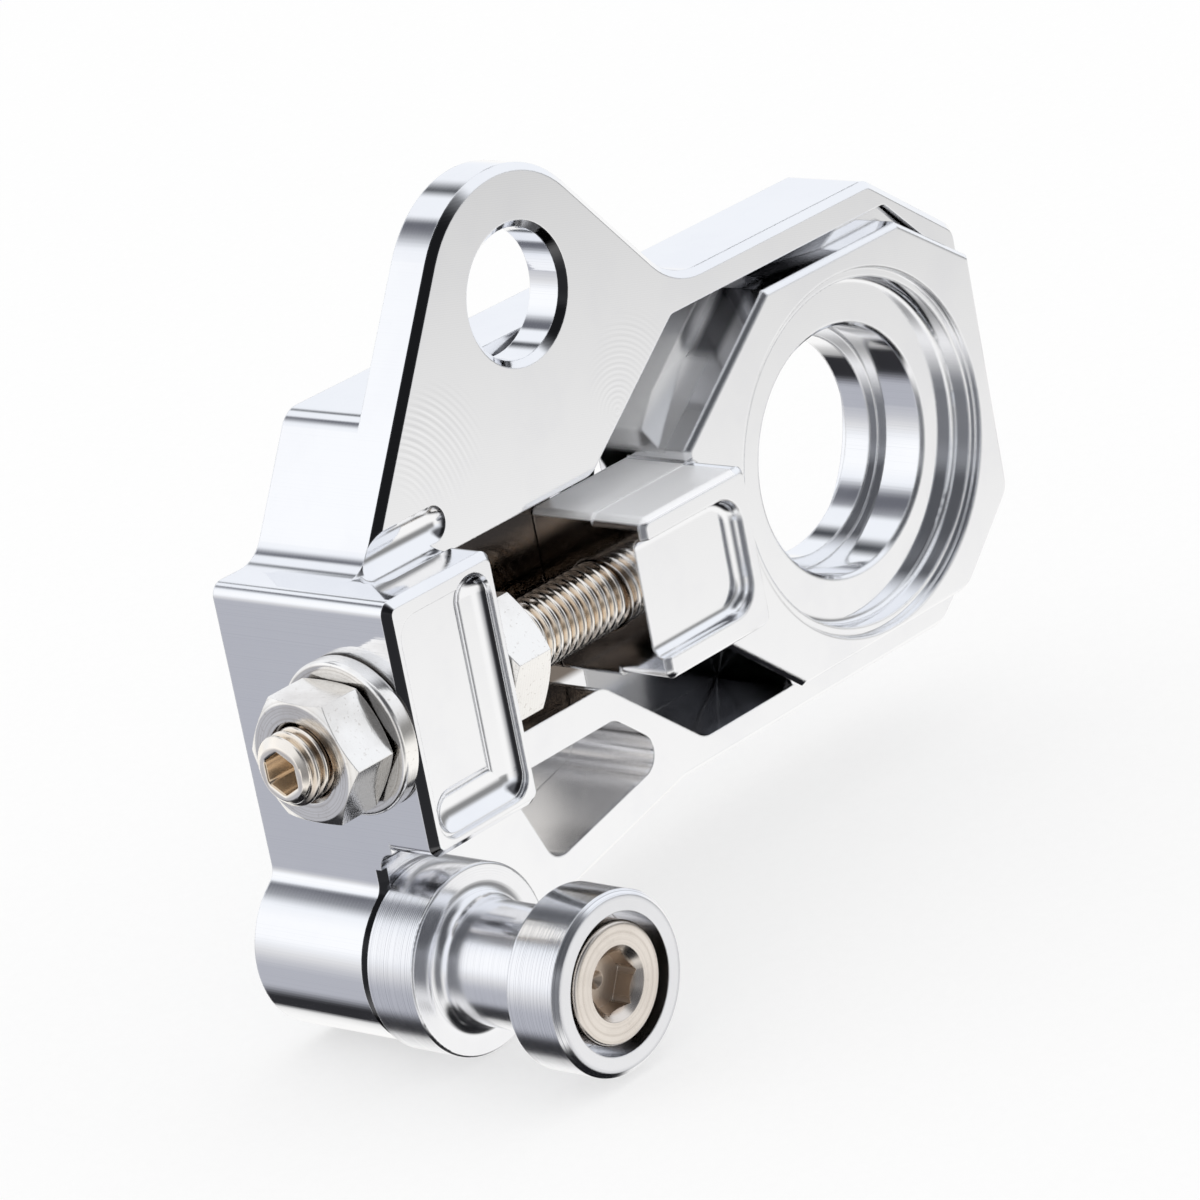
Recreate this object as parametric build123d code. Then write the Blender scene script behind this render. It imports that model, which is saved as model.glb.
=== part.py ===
import os
from math import asin, atan2, cos, pi, radians, sin, sqrt, tan

from build123d import *

# Chain adjuster for the rear axle of a motorcycle, in millimetres.
# The origin is on the axle at the inboard face of the slider.
# X runs forward along the adjusting travel, Y runs inboard towards the wheel, Z is up.

# Fits between pieces
slide_gap = 0.05
float_gap = 0.1
flange_gap = 0.1
stop_gap = 0.2
seat_gap = 0.05
thread_gap = 0.05
pass_gap = 0.25

# Axle slider, seen from outside
axle_bore_d = 25.0
collar_bore_d = 28.0
collar_bore_end = 3.6
slider_depth = 11.0
flange_proud = 2.3
cup_d = 39.0
cup_mouth_d = 41.2
cup_mouth_depth = 0.8
cup_floor_behind = 0.9
cup_corner = 0.7
bore_break = 0.4
flange_above = 22.9
flange_below = 21.4
flange_rear = 28.0
flange_front = 23.2
land_above_rear = 11.2
land_above_front = 12.0
land_rear_above = 10.5
land_rear_below = 11.8
land_below_rear = 16.4
land_below_front = 13.6
land_front_above = 15.2
land_front_below = 12.9
small_corner = 0.6
wide_corner = 3.0
flange_bevel = 0.55

# Guide plate of the slider, behind the flange
guide_step = 1.65
guide_front = 20.7
guide_below_step = 0.25
guide_ledge = 5.0
guide_slant_above = 8.0
guide_slant_below = 7.2
ramp_start = 1.9
ramp_fall = 4.9

# Tongue and anvil of the slider
tongue_reach = 43.9
tongue_half = 9.25
tongue_step = 0.12
anvil_proud = 9.0
anvil_front_x = 26.65
anvil_bevel = 0.6
anvil_corner = 1.2
anvil_pocket = 1.75
anvil_rim_above = 2.4
anvil_rim_side = 2.0
anvil_rim_below = 2.6
anvil_pocket_corner = 3.4
anvil_pocket_blend = 1.2

# Travel of the slider towards the end block
travel = 12.0
end_room = 3.2

# Frame
rail_above = 3.4
rail_below = 3.3
post_width = 3.5
web_thick = 5.3
recess_depth = 6.7
front_slant_x = 13.4
front_slant_z = 9.9
front_corner = 2.5
rail_back_bevel = 5.2
rail_bevel_start = 18.0
slot_half = 18.5
channel_above = 3.15
channel_below = 0.85
tail_angle = 12.4
tail_rise = 4.0
front_break = 0.8

# Ear of the frame
ear_x = 46.3
ear_z = 34.6
ear_radius = 13.7
ear_eye_d = 14.0
ear_thick = 5.5
ear_foot_inset = 6.7
ear_front_angle = 49.0
ear_sweep = 9.0
ear_foot_radius = 4.0
eye_break = 0.75
shoulder_corner = 3.0

# End block of the frame
block_reach = 82.0
block_length = 16.5
block_above = 14.4
block_below = 13.7
block_proud = 8.5
block_corner = 1.5
block_bevel = 0.8
block_rim = 1.35
block_tray = 0.5
block_tray_corner = 2.4
block_groove = 1.6
cutter_radius = 3.2
lobe_rise = 0.9
block_heel = 2.0
trough_radius = 2.6
trough_into_ear = 0.9
trough_into_block = 1.0
trough_past_front = 0.5

# Triangular pocket of the frame
strut_width = 2.7
tail_rail = 4.3
pocket_from_block = 3.3
pocket_foot_run = 5.0
pocket_under_channel = 4.1
pocket_depth = 12.0
pocket_corner = 2.6

# Boss and stand spool
boss_inset = 4.6
boss_drop = 13.1
boss_radius = 9.65
boss_blend = 2.0
spool_length = 26.3
spool_base_d = 20.4
spool_base_length = 7.0
spool_neck_d = 13.2
spool_neck_blend = 3.1
spool_collar_blend = 1.4
spool_collar_d = 19.4
spool_collar_length = 6.8
spool_break = 0.6
spool_well_d = 14.9
spool_well_depth = 5.3

# Screw that holds the spool
screw_d = 8.0
screw_head_d = 13.0
screw_head_height = 5.0
screw_key = 6.0
screw_key_depth = 3.0
screw_in_boss = 12.0
screw_break = 0.5

# Stud, nuts and washer
stud_d = 8.0
stud_offset = 1.0
stud_showing = 3.0
stud_in_anvil = 10.9
stud_point = 0.8
stud_key = 4.0
stud_key_depth = 4.5
nut_flats = 13.0
outer_nut_thick = 6.2
inner_nut_thick = 5.9
nut_slope = 0.55
nut_sink = 0.4
outer_nut_turn = 3.0
inner_nut_turn = -8.0
washer_d = 17.0
washer_thick = 2.3
washer_break = 0.5

# Planes across the part, from the sizes above
face_y = -slider_depth
web_y = float_gap
back_y = web_y + web_thick
recess_y = face_y + recess_depth
block_y = face_y - block_proud
flange_y = face_y - flange_proud
stud_y = face_y - stud_offset
block_rear = -block_reach
block_front = block_length - block_reach
window_top = flange_above + guide_step + slide_gap
window_bottom = -(flange_below + guide_below_step + slide_gap)
rail_top = window_top + rail_above
rail_bottom = window_bottom - rail_below
channel_top = tongue_half + channel_above
channel_bottom = -tongue_half - channel_below
boss_x = block_reach - boss_inset
boss_z = block_below + boss_drop
overrun = 2.0


def outline(*corners):
    # Face from corners given as across, up and corner radius, walked one way round.
    points = [Vector(across, up) for across, up, radius in corners]
    entries, exits, edges = [], [], []
    for number, (across, up, radius) in enumerate(corners):
        here = points[number]
        back = points[number - 1] - here
        ahead = points[(number + 1) % len(points)] - here
        half = radians(back.get_angle(ahead)) / 2
        trim = min(radius / tan(half), 0.48 * back.length, 0.48 * ahead.length)
        fitted = trim * tan(half)
        entries.append(here + back.normalized() * trim)
        exits.append(here + ahead.normalized() * trim)
        if radius > 0:
            bisector = (back.normalized() + ahead.normalized()).normalized()
            middle = here + bisector * (fitted / sin(half) - fitted)
            edges.append(ThreePointArc(entries[-1], middle, exits[-1]))
    for number in range(len(points)):
        edges.append(Line(exits[number - 1], entries[number]))
    return make_face(Wire(edges))


def slab(face, front, back):
    # Side view outline made solid between two planes across Y.
    return Pos(0, back, 0) * extrude(Plane.XZ * face, amount=back - front)


def front_bevel(solid, size):
    # Bevel round the outline of the outboard face.
    face = solid.faces().sort_by(Axis.Y)[0]
    return chamfer(face.outer_wire().edges(), size)


def bore(diameter, x, z, front, back):
    # Round hole or pin along Y.
    return slab(Pos(x, z) * Circle(diameter / 2), front, back)


def turned_on_stud(*corners):
    # Turned shape on the stud axis, from corners along X, radius and corner radius.
    return Pos(0, stud_y, 0) * revolve(outline(*corners), axis=Axis.X)


def turned_along_y(place, *corners):
    # Turned shape along Y, from corners radius, distance outboard of its place and corner radius.
    profile = outline(*[(radius, -out, blend) for radius, out, blend in corners])
    return Pos(*place) * revolve(profile, axis=Axis.Y)


def hexagon_on_stud(flats, start, end, turn):
    hexagon = extrude(Plane.YZ * RegularPolygon(flats / sqrt(3), 6), amount=end - start)
    return Pos(start, stud_y, 0) * Rot(turn, 0, 0) * hexagon


def on_line(near, far, up):
    # Point across at a height, on the line through two points.
    share = (up - near[1]) / (far[1] - near[1])
    return near[0] + share * (far[0] - near[0])


# Slanted rear sides of the flange, which the guide plate and the frame window repeat
slant_above = ((-flange_rear, land_rear_above), (-land_above_rear, flange_above))
slant_below = ((-flange_rear, -land_rear_below), (-land_below_rear, -flange_below))
slant_rise = (slant_above[1][1] - slant_above[0][1]) / (slant_above[1][0] - slant_above[0][0])
slant_shift = guide_step * sqrt(1 + slant_rise ** 2) / slant_rise
window_shift = travel + end_room


def flange_outline():
    return outline(
        (-land_above_rear, flange_above, 0),
        (land_above_front, flange_above, 0),
        (flange_front, land_front_above, 0),
        (flange_front, -land_front_below, wide_corner),
        (land_below_front, -flange_below, wide_corner),
        (-land_below_rear, -flange_below, 0),
        (-flange_rear, -land_rear_below, 0),
        (-flange_rear, land_rear_above, 0),
    )


def guide_outline():
    # Plate that runs between the rails, a step larger than the flange above and behind.
    top = flange_above + guide_step
    bottom = -(flange_below + guide_below_step)
    front = guide_front
    rear_top = on_line(*slant_above, top) - slant_shift
    rear_bottom = on_line(*slant_below, bottom)
    return outline(
        (rear_top, top, small_corner),
        (front - guide_slant_above, top, small_corner),
        (front, top - guide_slant_above, small_corner),
        (front, bottom + guide_slant_below, small_corner),
        (front - guide_slant_below, bottom, small_corner),
        (rear_bottom, bottom, small_corner),
        (-flange_rear, -land_rear_below, small_corner),
        (-flange_rear, land_rear_above + slant_shift * slant_rise, small_corner),
    )


def ramp_cutter():
    # Everything outboard of the sloping milled foot of the upper slant.
    near = Vector(-flange_rear, face_y + ramp_start, land_rear_above)
    far = Vector(-land_above_rear, face_y + ramp_start + ramp_fall, flange_above)
    along = (far - near).normalized()
    outward = Vector(-sin(pi / 4), 1.0, cos(pi / 4)).normalized()
    normal = along.cross(outward)
    if normal.Y > 0:
        normal = normal * -1
    size = 4 * flange_rear
    plane = Plane(origin=near, x_dir=along, z_dir=normal)
    return plane * Pos(0, 0, size / 2) * Box(size, size, size)


def block_shape(rear, front, bottom, top, radius):
    return outline((rear, top, radius), (front, top, radius), (front, bottom, radius), (rear, bottom, radius))


def make_slider():
    guide = guide_outline()
    flange = front_bevel(slab(flange_outline(), flange_y, face_y - flange_gap), flange_bevel)
    ledge_y = face_y + guide_ledge
    neck = slab(guide & flange_outline(), face_y - flange_gap - seat_gap, ledge_y)
    plate = slab(guide, ledge_y, 0)
    ramp = slab(guide, face_y + ramp_start / 2, ledge_y) - ramp_cutter()
    tongue_y = recess_y - float_gap
    tongue = slab(
        block_shape(-tongue_reach, 0, -tongue_half, tongue_half, small_corner), flange_y + overrun / 4, tongue_y
    )
    anvil_half = tongue_half - tongue_step
    anvil_face = block_shape(-tongue_reach, -anvil_front_x, -anvil_half, anvil_half, anvil_corner)
    anvil = front_bevel(slab(anvil_face, face_y - anvil_proud, face_y), anvil_bevel)
    body = flange + neck + plate + ramp + tongue + anvil
    # Shallow pocket in the anvil, open at its rear side
    pocket = block_shape(
        -tongue_reach - 2 * overrun,
        -anvil_front_x - anvil_rim_side,
        -anvil_half + anvil_rim_below,
        anvil_half - anvil_rim_above,
        anvil_pocket_corner,
    )
    pocket_open = Pos(-tongue_reach - overrun, 0) * Rectangle(
        3 * overrun, 2 * anvil_half - anvil_rim_below - anvil_rim_above
    )
    pocket_open = Pos(0, (anvil_rim_below - anvil_rim_above) / 2) * pocket_open
    anvil_y = face_y - anvil_proud
    hollow = slab(pocket + pocket_open, anvil_y - overrun, anvil_y + anvil_pocket)
    body -= fillet(hollow.faces().sort_by(Axis.Y)[-1].edges(), anvil_pocket_blend)
    # Cup, collar bore and axle bore
    cup_y = face_y + cup_floor_behind
    cup = bore(cup_d, 0, 0, flange_y - overrun, cup_y)
    cup = fillet(cup.faces().sort_by(Axis.Y)[-1].edges(), cup_corner)
    mouth = bore(cup_mouth_d, 0, 0, flange_y - overrun, flange_y + cup_mouth_depth)
    collar = bore(collar_bore_d, 0, 0, cup_y - overrun, -collar_bore_end)
    collar_r = collar_bore_d / 2
    collar_rim = turned_along_y(
        (0, cup_y, 0),
        (0, overrun, 0),
        (collar_r + bore_break + overrun, overrun, 0),
        (collar_r, -bore_break, 0),
        (0, -bore_break, 0),
    )
    body -= cup + mouth
    body -= collar + collar_rim + bore(axle_bore_d, 0, 0, -slider_depth, overrun)
    # Tapped hole for the stud
    hole_end = stud_in_anvil + seat_gap - tongue_reach
    hole = turned_on_stud(
        (-tongue_reach - overrun, 0, 0),
        (-tongue_reach - overrun, stud_d / 2 + thread_gap, 0),
        (hole_end, stud_d / 2 + thread_gap, 0),
        (hole_end, 0, 0),
    )
    return body - hole


def frame_side(with_ear):
    # Side view of the frame, with the ear or cut level with the rail.
    foot_x = block_rear + ear_foot_inset
    run, rise = -ear_x - foot_x, ear_z - block_above
    rear_angle = atan2(rise, run) + asin(ear_radius / sqrt(run ** 2 + rise ** 2))
    front_angle = radians(ear_front_angle)
    lean = (pi + rear_angle - front_angle) / 2
    tip = ear_radius / cos((rear_angle + front_angle) / 2)
    tip_x = -ear_x + tip * cos(lean)
    tip_z = ear_z + tip * sin(lean)
    shoulder_x = foot_x + (rail_top - block_above) / tan(rear_angle)
    sweep_x = tip_x + (tip_z - rail_top) / tan(front_angle)
    post = guide_front + stop_gap + post_width
    tail_start = tail_rise - on_line(*slant_below, window_bottom) + window_shift
    tail_z = rail_bottom - (boss_x - tail_start) * tan(radians(tail_angle))
    ear = [(tip_x, tip_z, ear_radius), (sweep_x, rail_top, ear_sweep)]
    level = [(shoulder_x, rail_top, shoulder_corner)]
    side = outline(
        (block_rear, block_above, block_corner),
        (foot_x, block_above, ear_foot_radius),
        *(ear if with_ear else level),
        (post - front_slant_x, rail_top, front_corner),
        (post, rail_top - front_slant_z, front_corner),
        (post, rail_bottom + front_slant_z, front_corner),
        (post - front_slant_x, rail_bottom, front_corner),
        (-tail_start, rail_bottom, 0),
        (-boss_x, tail_z, 0),
        (block_rear, -boss_z, 0),
    )
    side += Pos(-boss_x, -boss_z) * Circle(boss_radius)
    reach = boss_x + block_rear
    meet = Vector(block_rear, -boss_z + sqrt(boss_radius ** 2 - reach ** 2))
    corner = side.vertices().sort_by_distance(meet)[0]
    return fillet(corner, boss_blend)


def window_outline():
    top_x = on_line(*slant_above, window_top) - window_shift
    above_x = on_line(*slant_above, channel_top) - window_shift
    below_x = on_line(*slant_below, channel_bottom) - window_shift
    bottom_x = on_line(*slant_below, window_bottom) - window_shift
    front = guide_front + stop_gap
    return outline(
        (top_x, window_top, 2 * small_corner),
        (front - guide_slant_above, window_top, 2 * small_corner),
        (front, window_top - guide_slant_above, small_corner),
        (front, window_bottom + guide_slant_below, small_corner),
        (front - guide_slant_below, window_bottom, small_corner),
        (bottom_x, window_bottom, wide_corner),
        (below_x, channel_bottom, wide_corner),
        (block_front, channel_bottom, 2 * small_corner),
        (block_front, channel_top, 2 * small_corner),
        (above_x, channel_top, wide_corner),
    )


def triangle_outline():
    # Pocket between the strut under the channel and the sloping bottom rail.
    below_x = on_line(*slant_below, channel_bottom) - window_shift
    bottom_x = on_line(*slant_below, window_bottom) - window_shift
    fall = (window_bottom - channel_bottom) / (bottom_x - below_x)
    drop = strut_width * sqrt(1 + fall ** 2)
    slope = tan(radians(tail_angle))
    tail_start = -bottom_x + tail_rise
    lift = rail_bottom + tail_rail
    pocket_rear = block_front + pocket_from_block
    pocket_top = channel_bottom - pocket_under_channel
    # Where the strut line meets the top of the pocket and the line along the tail
    top_x = below_x + (pocket_top - channel_bottom + drop) / fall
    nose_x = (channel_bottom - drop - fall * below_x - lift - slope * tail_start) / (slope - fall)
    nose_z = lift + slope * (nose_x + tail_start)
    foot_x = pocket_rear + pocket_foot_run
    return outline(
        (pocket_rear, pocket_top, pocket_corner),
        (top_x, pocket_top, pocket_corner),
        (nose_x, nose_z, pocket_corner),
        (foot_x, lift + slope * (tail_start + foot_x), pocket_corner),
    )


def round_cut(start, end, radius):
    # Groove left by a round nosed cutter between two points.
    along = Vector(*end) - Vector(*start)
    plane = Plane(origin=start, z_dir=along)
    return extrude(plane * Circle(radius), amount=along.length) + Pos(*start) * Sphere(radius)


def block_front_pocket():
    # Shallow tray with a deeper groove along its front and bottom, left by a round nosed cutter.
    reach = sqrt(2 * cutter_radius * block_groove - block_groove ** 2)
    rear = block_rear + block_rim
    front = block_front - block_rim - reach
    top = block_above - block_rim - lobe_rise
    bottom = -block_below + block_rim + reach
    axis_y = block_y + block_groove - cutter_radius
    tray_face = block_shape(rear, front + reach, bottom - reach, top, block_tray_corner)
    tray = slab(tray_face, axis_y, block_y + block_tray)
    corner = (front, axis_y, bottom)
    tray += round_cut((front, axis_y, top + lobe_rise - reach), corner, cutter_radius)
    tray += round_cut(corner, (rear + reach, axis_y, bottom), cutter_radius)
    return tray + Pos(rear + reach, axis_y, bottom) * Sphere(cutter_radius)


def heel():
    # Hollow blend under the block, where it meets the plate.
    square = slab(
        block_shape(block_rear, block_front, -block_below - block_heel, overrun - block_below, 0),
        face_y - block_heel,
        face_y + overrun,
    )
    start = (block_front + overrun, face_y - block_heel, -block_below - block_heel)
    end = (block_rear - overrun, face_y - block_heel, -block_below - block_heel)
    return square - round_cut(start, end, block_heel)


def trough():
    # Scoop along the foot of the ear, where the top of the block meets it.
    axis_y = face_y - trough_radius + trough_into_ear
    axis_z = block_above + trough_radius - trough_into_block
    start = (block_front + trough_past_front, axis_y, axis_z)
    end = (block_rear + ear_foot_inset, axis_y, axis_z)
    return round_cut(start, end, trough_radius) + Pos(*end) * Sphere(trough_radius)


def make_frame():
    ear_y = face_y + ear_thick
    plate = front_bevel(slab(frame_side(True), face_y, ear_y), front_break)
    rear = slab(frame_side(False), ear_y, back_y)
    block_face = block_shape(block_rear, block_front, -block_below, block_above, block_corner)
    block = front_bevel(slab(block_face, block_y, ear_y), block_bevel)
    body = plate + rear + block + heel()
    # Long bevel along the back of the top rail
    low = rail_top - rail_back_bevel - overrun
    bevel_face = make_face(
        Polyline(
            (back_y - rail_back_bevel, rail_top),
            (back_y + overrun, low),
            (back_y + overrun, rail_top + overrun),
            (back_y - rail_back_bevel, rail_top + overrun),
            close=True,
        )
    )
    bevel = extrude(Plane.YZ * bevel_face, amount=rail_bevel_start + 2 * flange_front)
    body -= Pos(-rail_bevel_start, 0, 0) * bevel
    # Window with the stud channel, deeper where the guide plate runs
    window = window_outline()
    deep_rear = -flange_rear - travel - end_room / 4
    deep = window & Pos(deep_rear + block_reach, 0) * Rectangle(2 * block_reach, 2 * block_reach)
    body -= slab(window, face_y - overrun, recess_y)
    body -= slab(deep, recess_y - overrun, web_y)
    slot = Pos(-travel / 2, 0) * SlotOverall(travel + 2 * slot_half, 2 * slot_half)
    body -= slab(slot, 0, back_y + overrun)
    body -= slab(triangle_outline(), face_y - overrun, face_y + pocket_depth)
    eye_r = ear_eye_d / 2
    eye = turned_along_y(
        (-ear_x, face_y, ear_z),
        (0, overrun, 0),
        (eye_r + eye_break + overrun, overrun, 0),
        (eye_r, -eye_break, 0),
        (eye_r, eye_break - ear_thick, 0),
        (eye_r + eye_break + overrun, -ear_thick - overrun, 0),
        (0, -ear_thick - overrun, 0),
    )
    body -= eye
    body -= block_front_pocket()
    body -= trough()
    # Clearance hole for the stud and tapped hole for the spool screw
    stud_hole = turned_on_stud(
        (block_rear - overrun, 0, 0),
        (block_rear - overrun, stud_d / 2 + pass_gap, 0),
        (block_front + overrun, stud_d / 2 + pass_gap, 0),
        (block_front + overrun, 0, 0),
    )
    body -= stud_hole
    tapped_end = face_y + screw_in_boss + overrun / 2
    body -= bore(screw_d + 2 * thread_gap, -boss_x, -boss_z, face_y - overrun, tapped_end)
    return body


def make_stud():
    outer = block_rear - washer_thick - outer_nut_thick - 2 * seat_gap - stud_showing
    inner = stud_in_anvil - tongue_reach
    radius = stud_d / 2
    rod = turned_on_stud(
        (outer, 0, 0),
        (outer, radius - stud_point, 0),
        (outer + stud_point, radius, 0),
        (inner - stud_point, radius, 0),
        (inner, radius - stud_point, 0),
        (inner, 0, 0),
    )
    return rod - hexagon_on_stud(stud_key, outer - overrun, outer + stud_key_depth, 0)


def make_nut(start, thick, turn):
    end = start + thick
    corner = nut_flats / sqrt(3)
    flat = nut_flats / 2 - nut_slope / 4
    hole = stud_d / 2 + thread_gap
    nut = hexagon_on_stud(nut_flats, start, end, turn)
    nut &= turned_on_stud(
        (start, 0, 0),
        (start, flat, 0),
        (start + nut_slope, corner, 0),
        (end - nut_slope, corner, 0),
        (end, flat, 0),
        (end, 0, 0),
    )
    return nut - turned_on_stud(
        (start - overrun, 0, 0),
        (start - overrun, hole + nut_sink + overrun, 0),
        (start + nut_sink, hole, 0),
        (end - nut_sink, hole, 0),
        (end + overrun, hole + nut_sink + overrun, 0),
        (end + overrun, 0, 0),
    )


def make_washer():
    end = block_rear
    start = end - washer_thick
    hole = stud_d / 2 + pass_gap
    return turned_on_stud(
        (start, hole, 0),
        (start, washer_d / 2, washer_break),
        (end, washer_d / 2, washer_break),
        (end, hole, 0),
    )


def turned_on_spool(*corners):
    return turned_along_y((-boss_x, face_y, -boss_z), *corners)


def make_spool():
    hole = screw_d / 2 + pass_gap
    collar = spool_length - spool_collar_length
    base_r, neck_r, collar_r = spool_base_d / 2, spool_neck_d / 2, spool_collar_d / 2
    well_r = spool_well_d / 2
    return turned_on_spool(
        (hole, 0, 0),
        (base_r - spool_break, 0, 0),
        (base_r, spool_break, 0),
        (base_r, spool_base_length, spool_break / 2),
        (neck_r, spool_base_length, spool_neck_blend),
        (neck_r, collar, spool_collar_blend),
        (collar_r, collar, spool_break / 2),
        (collar_r, spool_length - spool_break, 0),
        (collar_r - spool_break, spool_length, 0),
        (well_r, spool_length, 0),
        (well_r, spool_length - spool_well_depth, 0),
        (hole, spool_length - spool_well_depth, 0),
    )


def make_screw():
    seat = spool_length - spool_well_depth
    top = seat + screw_head_height
    head_r, shank_r = screw_head_d / 2, screw_d / 2
    screw = turned_on_spool(
        (0, -screw_in_boss, 0),
        (shank_r - screw_break, -screw_in_boss, 0),
        (shank_r, -screw_in_boss + screw_break, 0),
        (shank_r, seat, 0),
        (head_r, seat, 0),
        (head_r, top, screw_break),
        (0, top, 0),
    )
    key_y = face_y - top
    key = slab(RegularPolygon(screw_key / sqrt(3), 6), key_y - overrun, key_y + screw_key_depth)
    screw -= Pos(-boss_x, 0, -boss_z) * key
    mouth = screw_key / sqrt(3) + screw_break
    return screw - turned_on_spool((0, top + overrun, 0), (mouth + overrun, top + overrun, 0), (0, top - mouth, 0))


def main():
    outer_nut_start = block_rear - washer_thick - seat_gap - outer_nut_thick
    parts = {
        "carrier_frame": make_frame(),
        "axle_slider": make_slider(),
        "adjuster_stud": make_stud(),
        "outer_lock_nut": make_nut(outer_nut_start, outer_nut_thick, outer_nut_turn),
        "outer_washer": make_washer(),
        "inner_jam_nut": make_nut(block_front + seat_gap, inner_nut_thick, inner_nut_turn),
        "stand_spool": make_spool(),
        "spool_screw": make_screw(),
    }
    os.makedirs("parts", exist_ok=True)
    for name, shape in parts.items():
        export_step(shape, f"parts/{name}.step")


main()
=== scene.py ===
import math

import bmesh
import bpy
from mathutils import Matrix, Vector


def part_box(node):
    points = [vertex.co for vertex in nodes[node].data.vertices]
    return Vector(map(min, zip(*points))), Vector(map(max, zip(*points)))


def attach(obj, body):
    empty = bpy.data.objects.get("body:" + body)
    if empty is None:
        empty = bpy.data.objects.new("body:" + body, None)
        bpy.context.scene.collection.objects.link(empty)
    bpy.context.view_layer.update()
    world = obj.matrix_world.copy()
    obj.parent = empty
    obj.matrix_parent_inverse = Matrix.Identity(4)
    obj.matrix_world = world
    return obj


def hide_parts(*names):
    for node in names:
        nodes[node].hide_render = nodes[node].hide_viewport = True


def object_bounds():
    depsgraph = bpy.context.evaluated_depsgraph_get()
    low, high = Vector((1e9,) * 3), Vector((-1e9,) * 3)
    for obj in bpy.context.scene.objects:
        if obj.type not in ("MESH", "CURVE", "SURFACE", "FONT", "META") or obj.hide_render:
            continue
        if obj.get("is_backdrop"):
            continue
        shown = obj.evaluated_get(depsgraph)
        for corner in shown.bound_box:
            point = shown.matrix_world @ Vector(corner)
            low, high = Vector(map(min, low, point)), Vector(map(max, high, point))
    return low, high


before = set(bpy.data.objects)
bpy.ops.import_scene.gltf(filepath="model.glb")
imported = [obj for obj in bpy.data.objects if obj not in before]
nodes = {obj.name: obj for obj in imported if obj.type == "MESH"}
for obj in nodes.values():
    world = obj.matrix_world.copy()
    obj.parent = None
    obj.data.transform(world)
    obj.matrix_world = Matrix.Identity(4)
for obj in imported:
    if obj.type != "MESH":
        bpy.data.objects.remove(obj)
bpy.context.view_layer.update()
print("frame loaded")

# Camera, read off the photograph, in metres and degrees
cameraSetup = dict(place=(-0.4712, -0.4351, 0.2069), azimuth=-45.27, elevation=19.03, roll=-11.12, lens=180.0)


def aimCamera(setup):
    azimuth = math.radians(setup["azimuth"])
    elevation = math.radians(setup["elevation"])
    roll = math.radians(setup["roll"])
    level = math.cos(elevation)
    back = Vector((math.sin(azimuth) * level, -math.cos(azimuth) * level, math.sin(elevation)))
    right = Vector((0, 0, 1)).cross(back).normalized()
    up = back.cross(right)
    side = math.cos(roll) * right + math.sin(roll) * up
    top = -math.sin(roll) * right + math.cos(roll) * up
    data = bpy.data.cameras.new("photoCamera")
    data.lens = setup["lens"]
    data.sensor_width = 36.0
    data.clip_start = 0.01
    data.clip_end = 20.0
    camera = bpy.data.objects.new("photoCamera", data)
    camera.matrix_world = Matrix.Translation(setup["place"]) @ Matrix((side, top, back)).transposed().to_4x4()
    bpy.context.scene.collection.objects.link(camera)
    bpy.context.scene.camera = camera


aimCamera(cameraSetup)
print("camera placed")

# Small tools for building shader trees
def addNode(tree, kind, settings=None, inputs=None):
    node = tree.nodes.new(kind)
    for name, value in (settings or {}).items():
        setattr(node, name, value)
    for name, value in (inputs or {}).items():
        if isinstance(value, bpy.types.NodeSocket):
            tree.links.new(value, node.inputs[name])
        else:
            node.inputs[name].default_value = value
    return node


def addMath(tree, operation, *values, clamp=False):
    settings = dict(operation=operation, use_clamp=clamp)
    return addNode(tree, "ShaderNodeMath", settings, dict(enumerate(values))).outputs[0]


def addVector(tree, operation, *values):
    node = addNode(tree, "ShaderNodeVectorMath", dict(operation=operation), dict(enumerate(values)))
    return node.outputs["Value" if operation in ("DOT_PRODUCT", "LENGTH") else "Vector"]


def addRange(tree, value, fromMin, fromMax, toMin=0.0, toMax=1.0, smooth=True):
    kind = "SMOOTHSTEP" if smooth else "LINEAR"
    settings = dict(interpolation_type=kind)
    inputs = {"Value": value, "From Min": fromMin, "From Max": fromMax, "To Min": toMin, "To Max": toMax}
    return addNode(tree, "ShaderNodeMapRange", settings, inputs).outputs["Result"]


def addMix(tree, factor, first, second, blend="MIX"):
    node = addNode(tree, "ShaderNodeMix", dict(data_type="RGBA", blend_type=blend))
    for number, value in ((0, factor), (6, first), (7, second)):
        if isinstance(value, bpy.types.NodeSocket):
            tree.links.new(value, node.inputs[number])
        else:
            node.inputs[number].default_value = value
    return node.outputs[2]


def addShaderMix(tree, factor, first, second):
    inputs = {0: factor, 1: first.outputs[0], 2: second.outputs[0]}
    return addNode(tree, "ShaderNodeMixShader", None, inputs)


def addNoise(tree, vector, scale, detail=2.0, roughness=0.5):
    inputs = {"Vector": vector, "Scale": scale, "Detail": detail, "Roughness": roughness}
    return addNode(tree, "ShaderNodeTexNoise", None, inputs).outputs["Fac"]


def addLineNoise(tree, along, scale):
    # Noise in one direction only, so it stays the same across it
    inputs = {"W": along, "Scale": scale, "Detail": 4.0}
    return addNode(tree, "ShaderNodeTexNoise", dict(noise_dimensions="1D"), inputs).outputs["Fac"]


def splitVector(tree, vector):
    return addNode(tree, "ShaderNodeSeparateXYZ", None, {0: vector}).outputs


def newGroup(name, inputs, outputs):
    group = bpy.data.node_groups.new(name, "ShaderNodeTree")
    for label, kind, value in inputs:
        socket = group.interface.new_socket(name=label, in_out="INPUT", socket_type=kind)
        socket.default_value = value
    for label, kind in outputs:
        group.interface.new_socket(name=label, in_out="OUTPUT", socket_type=kind)
    return group, group.nodes.new("NodeGroupInput").outputs, group.nodes.new("NodeGroupOutput").inputs


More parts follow.
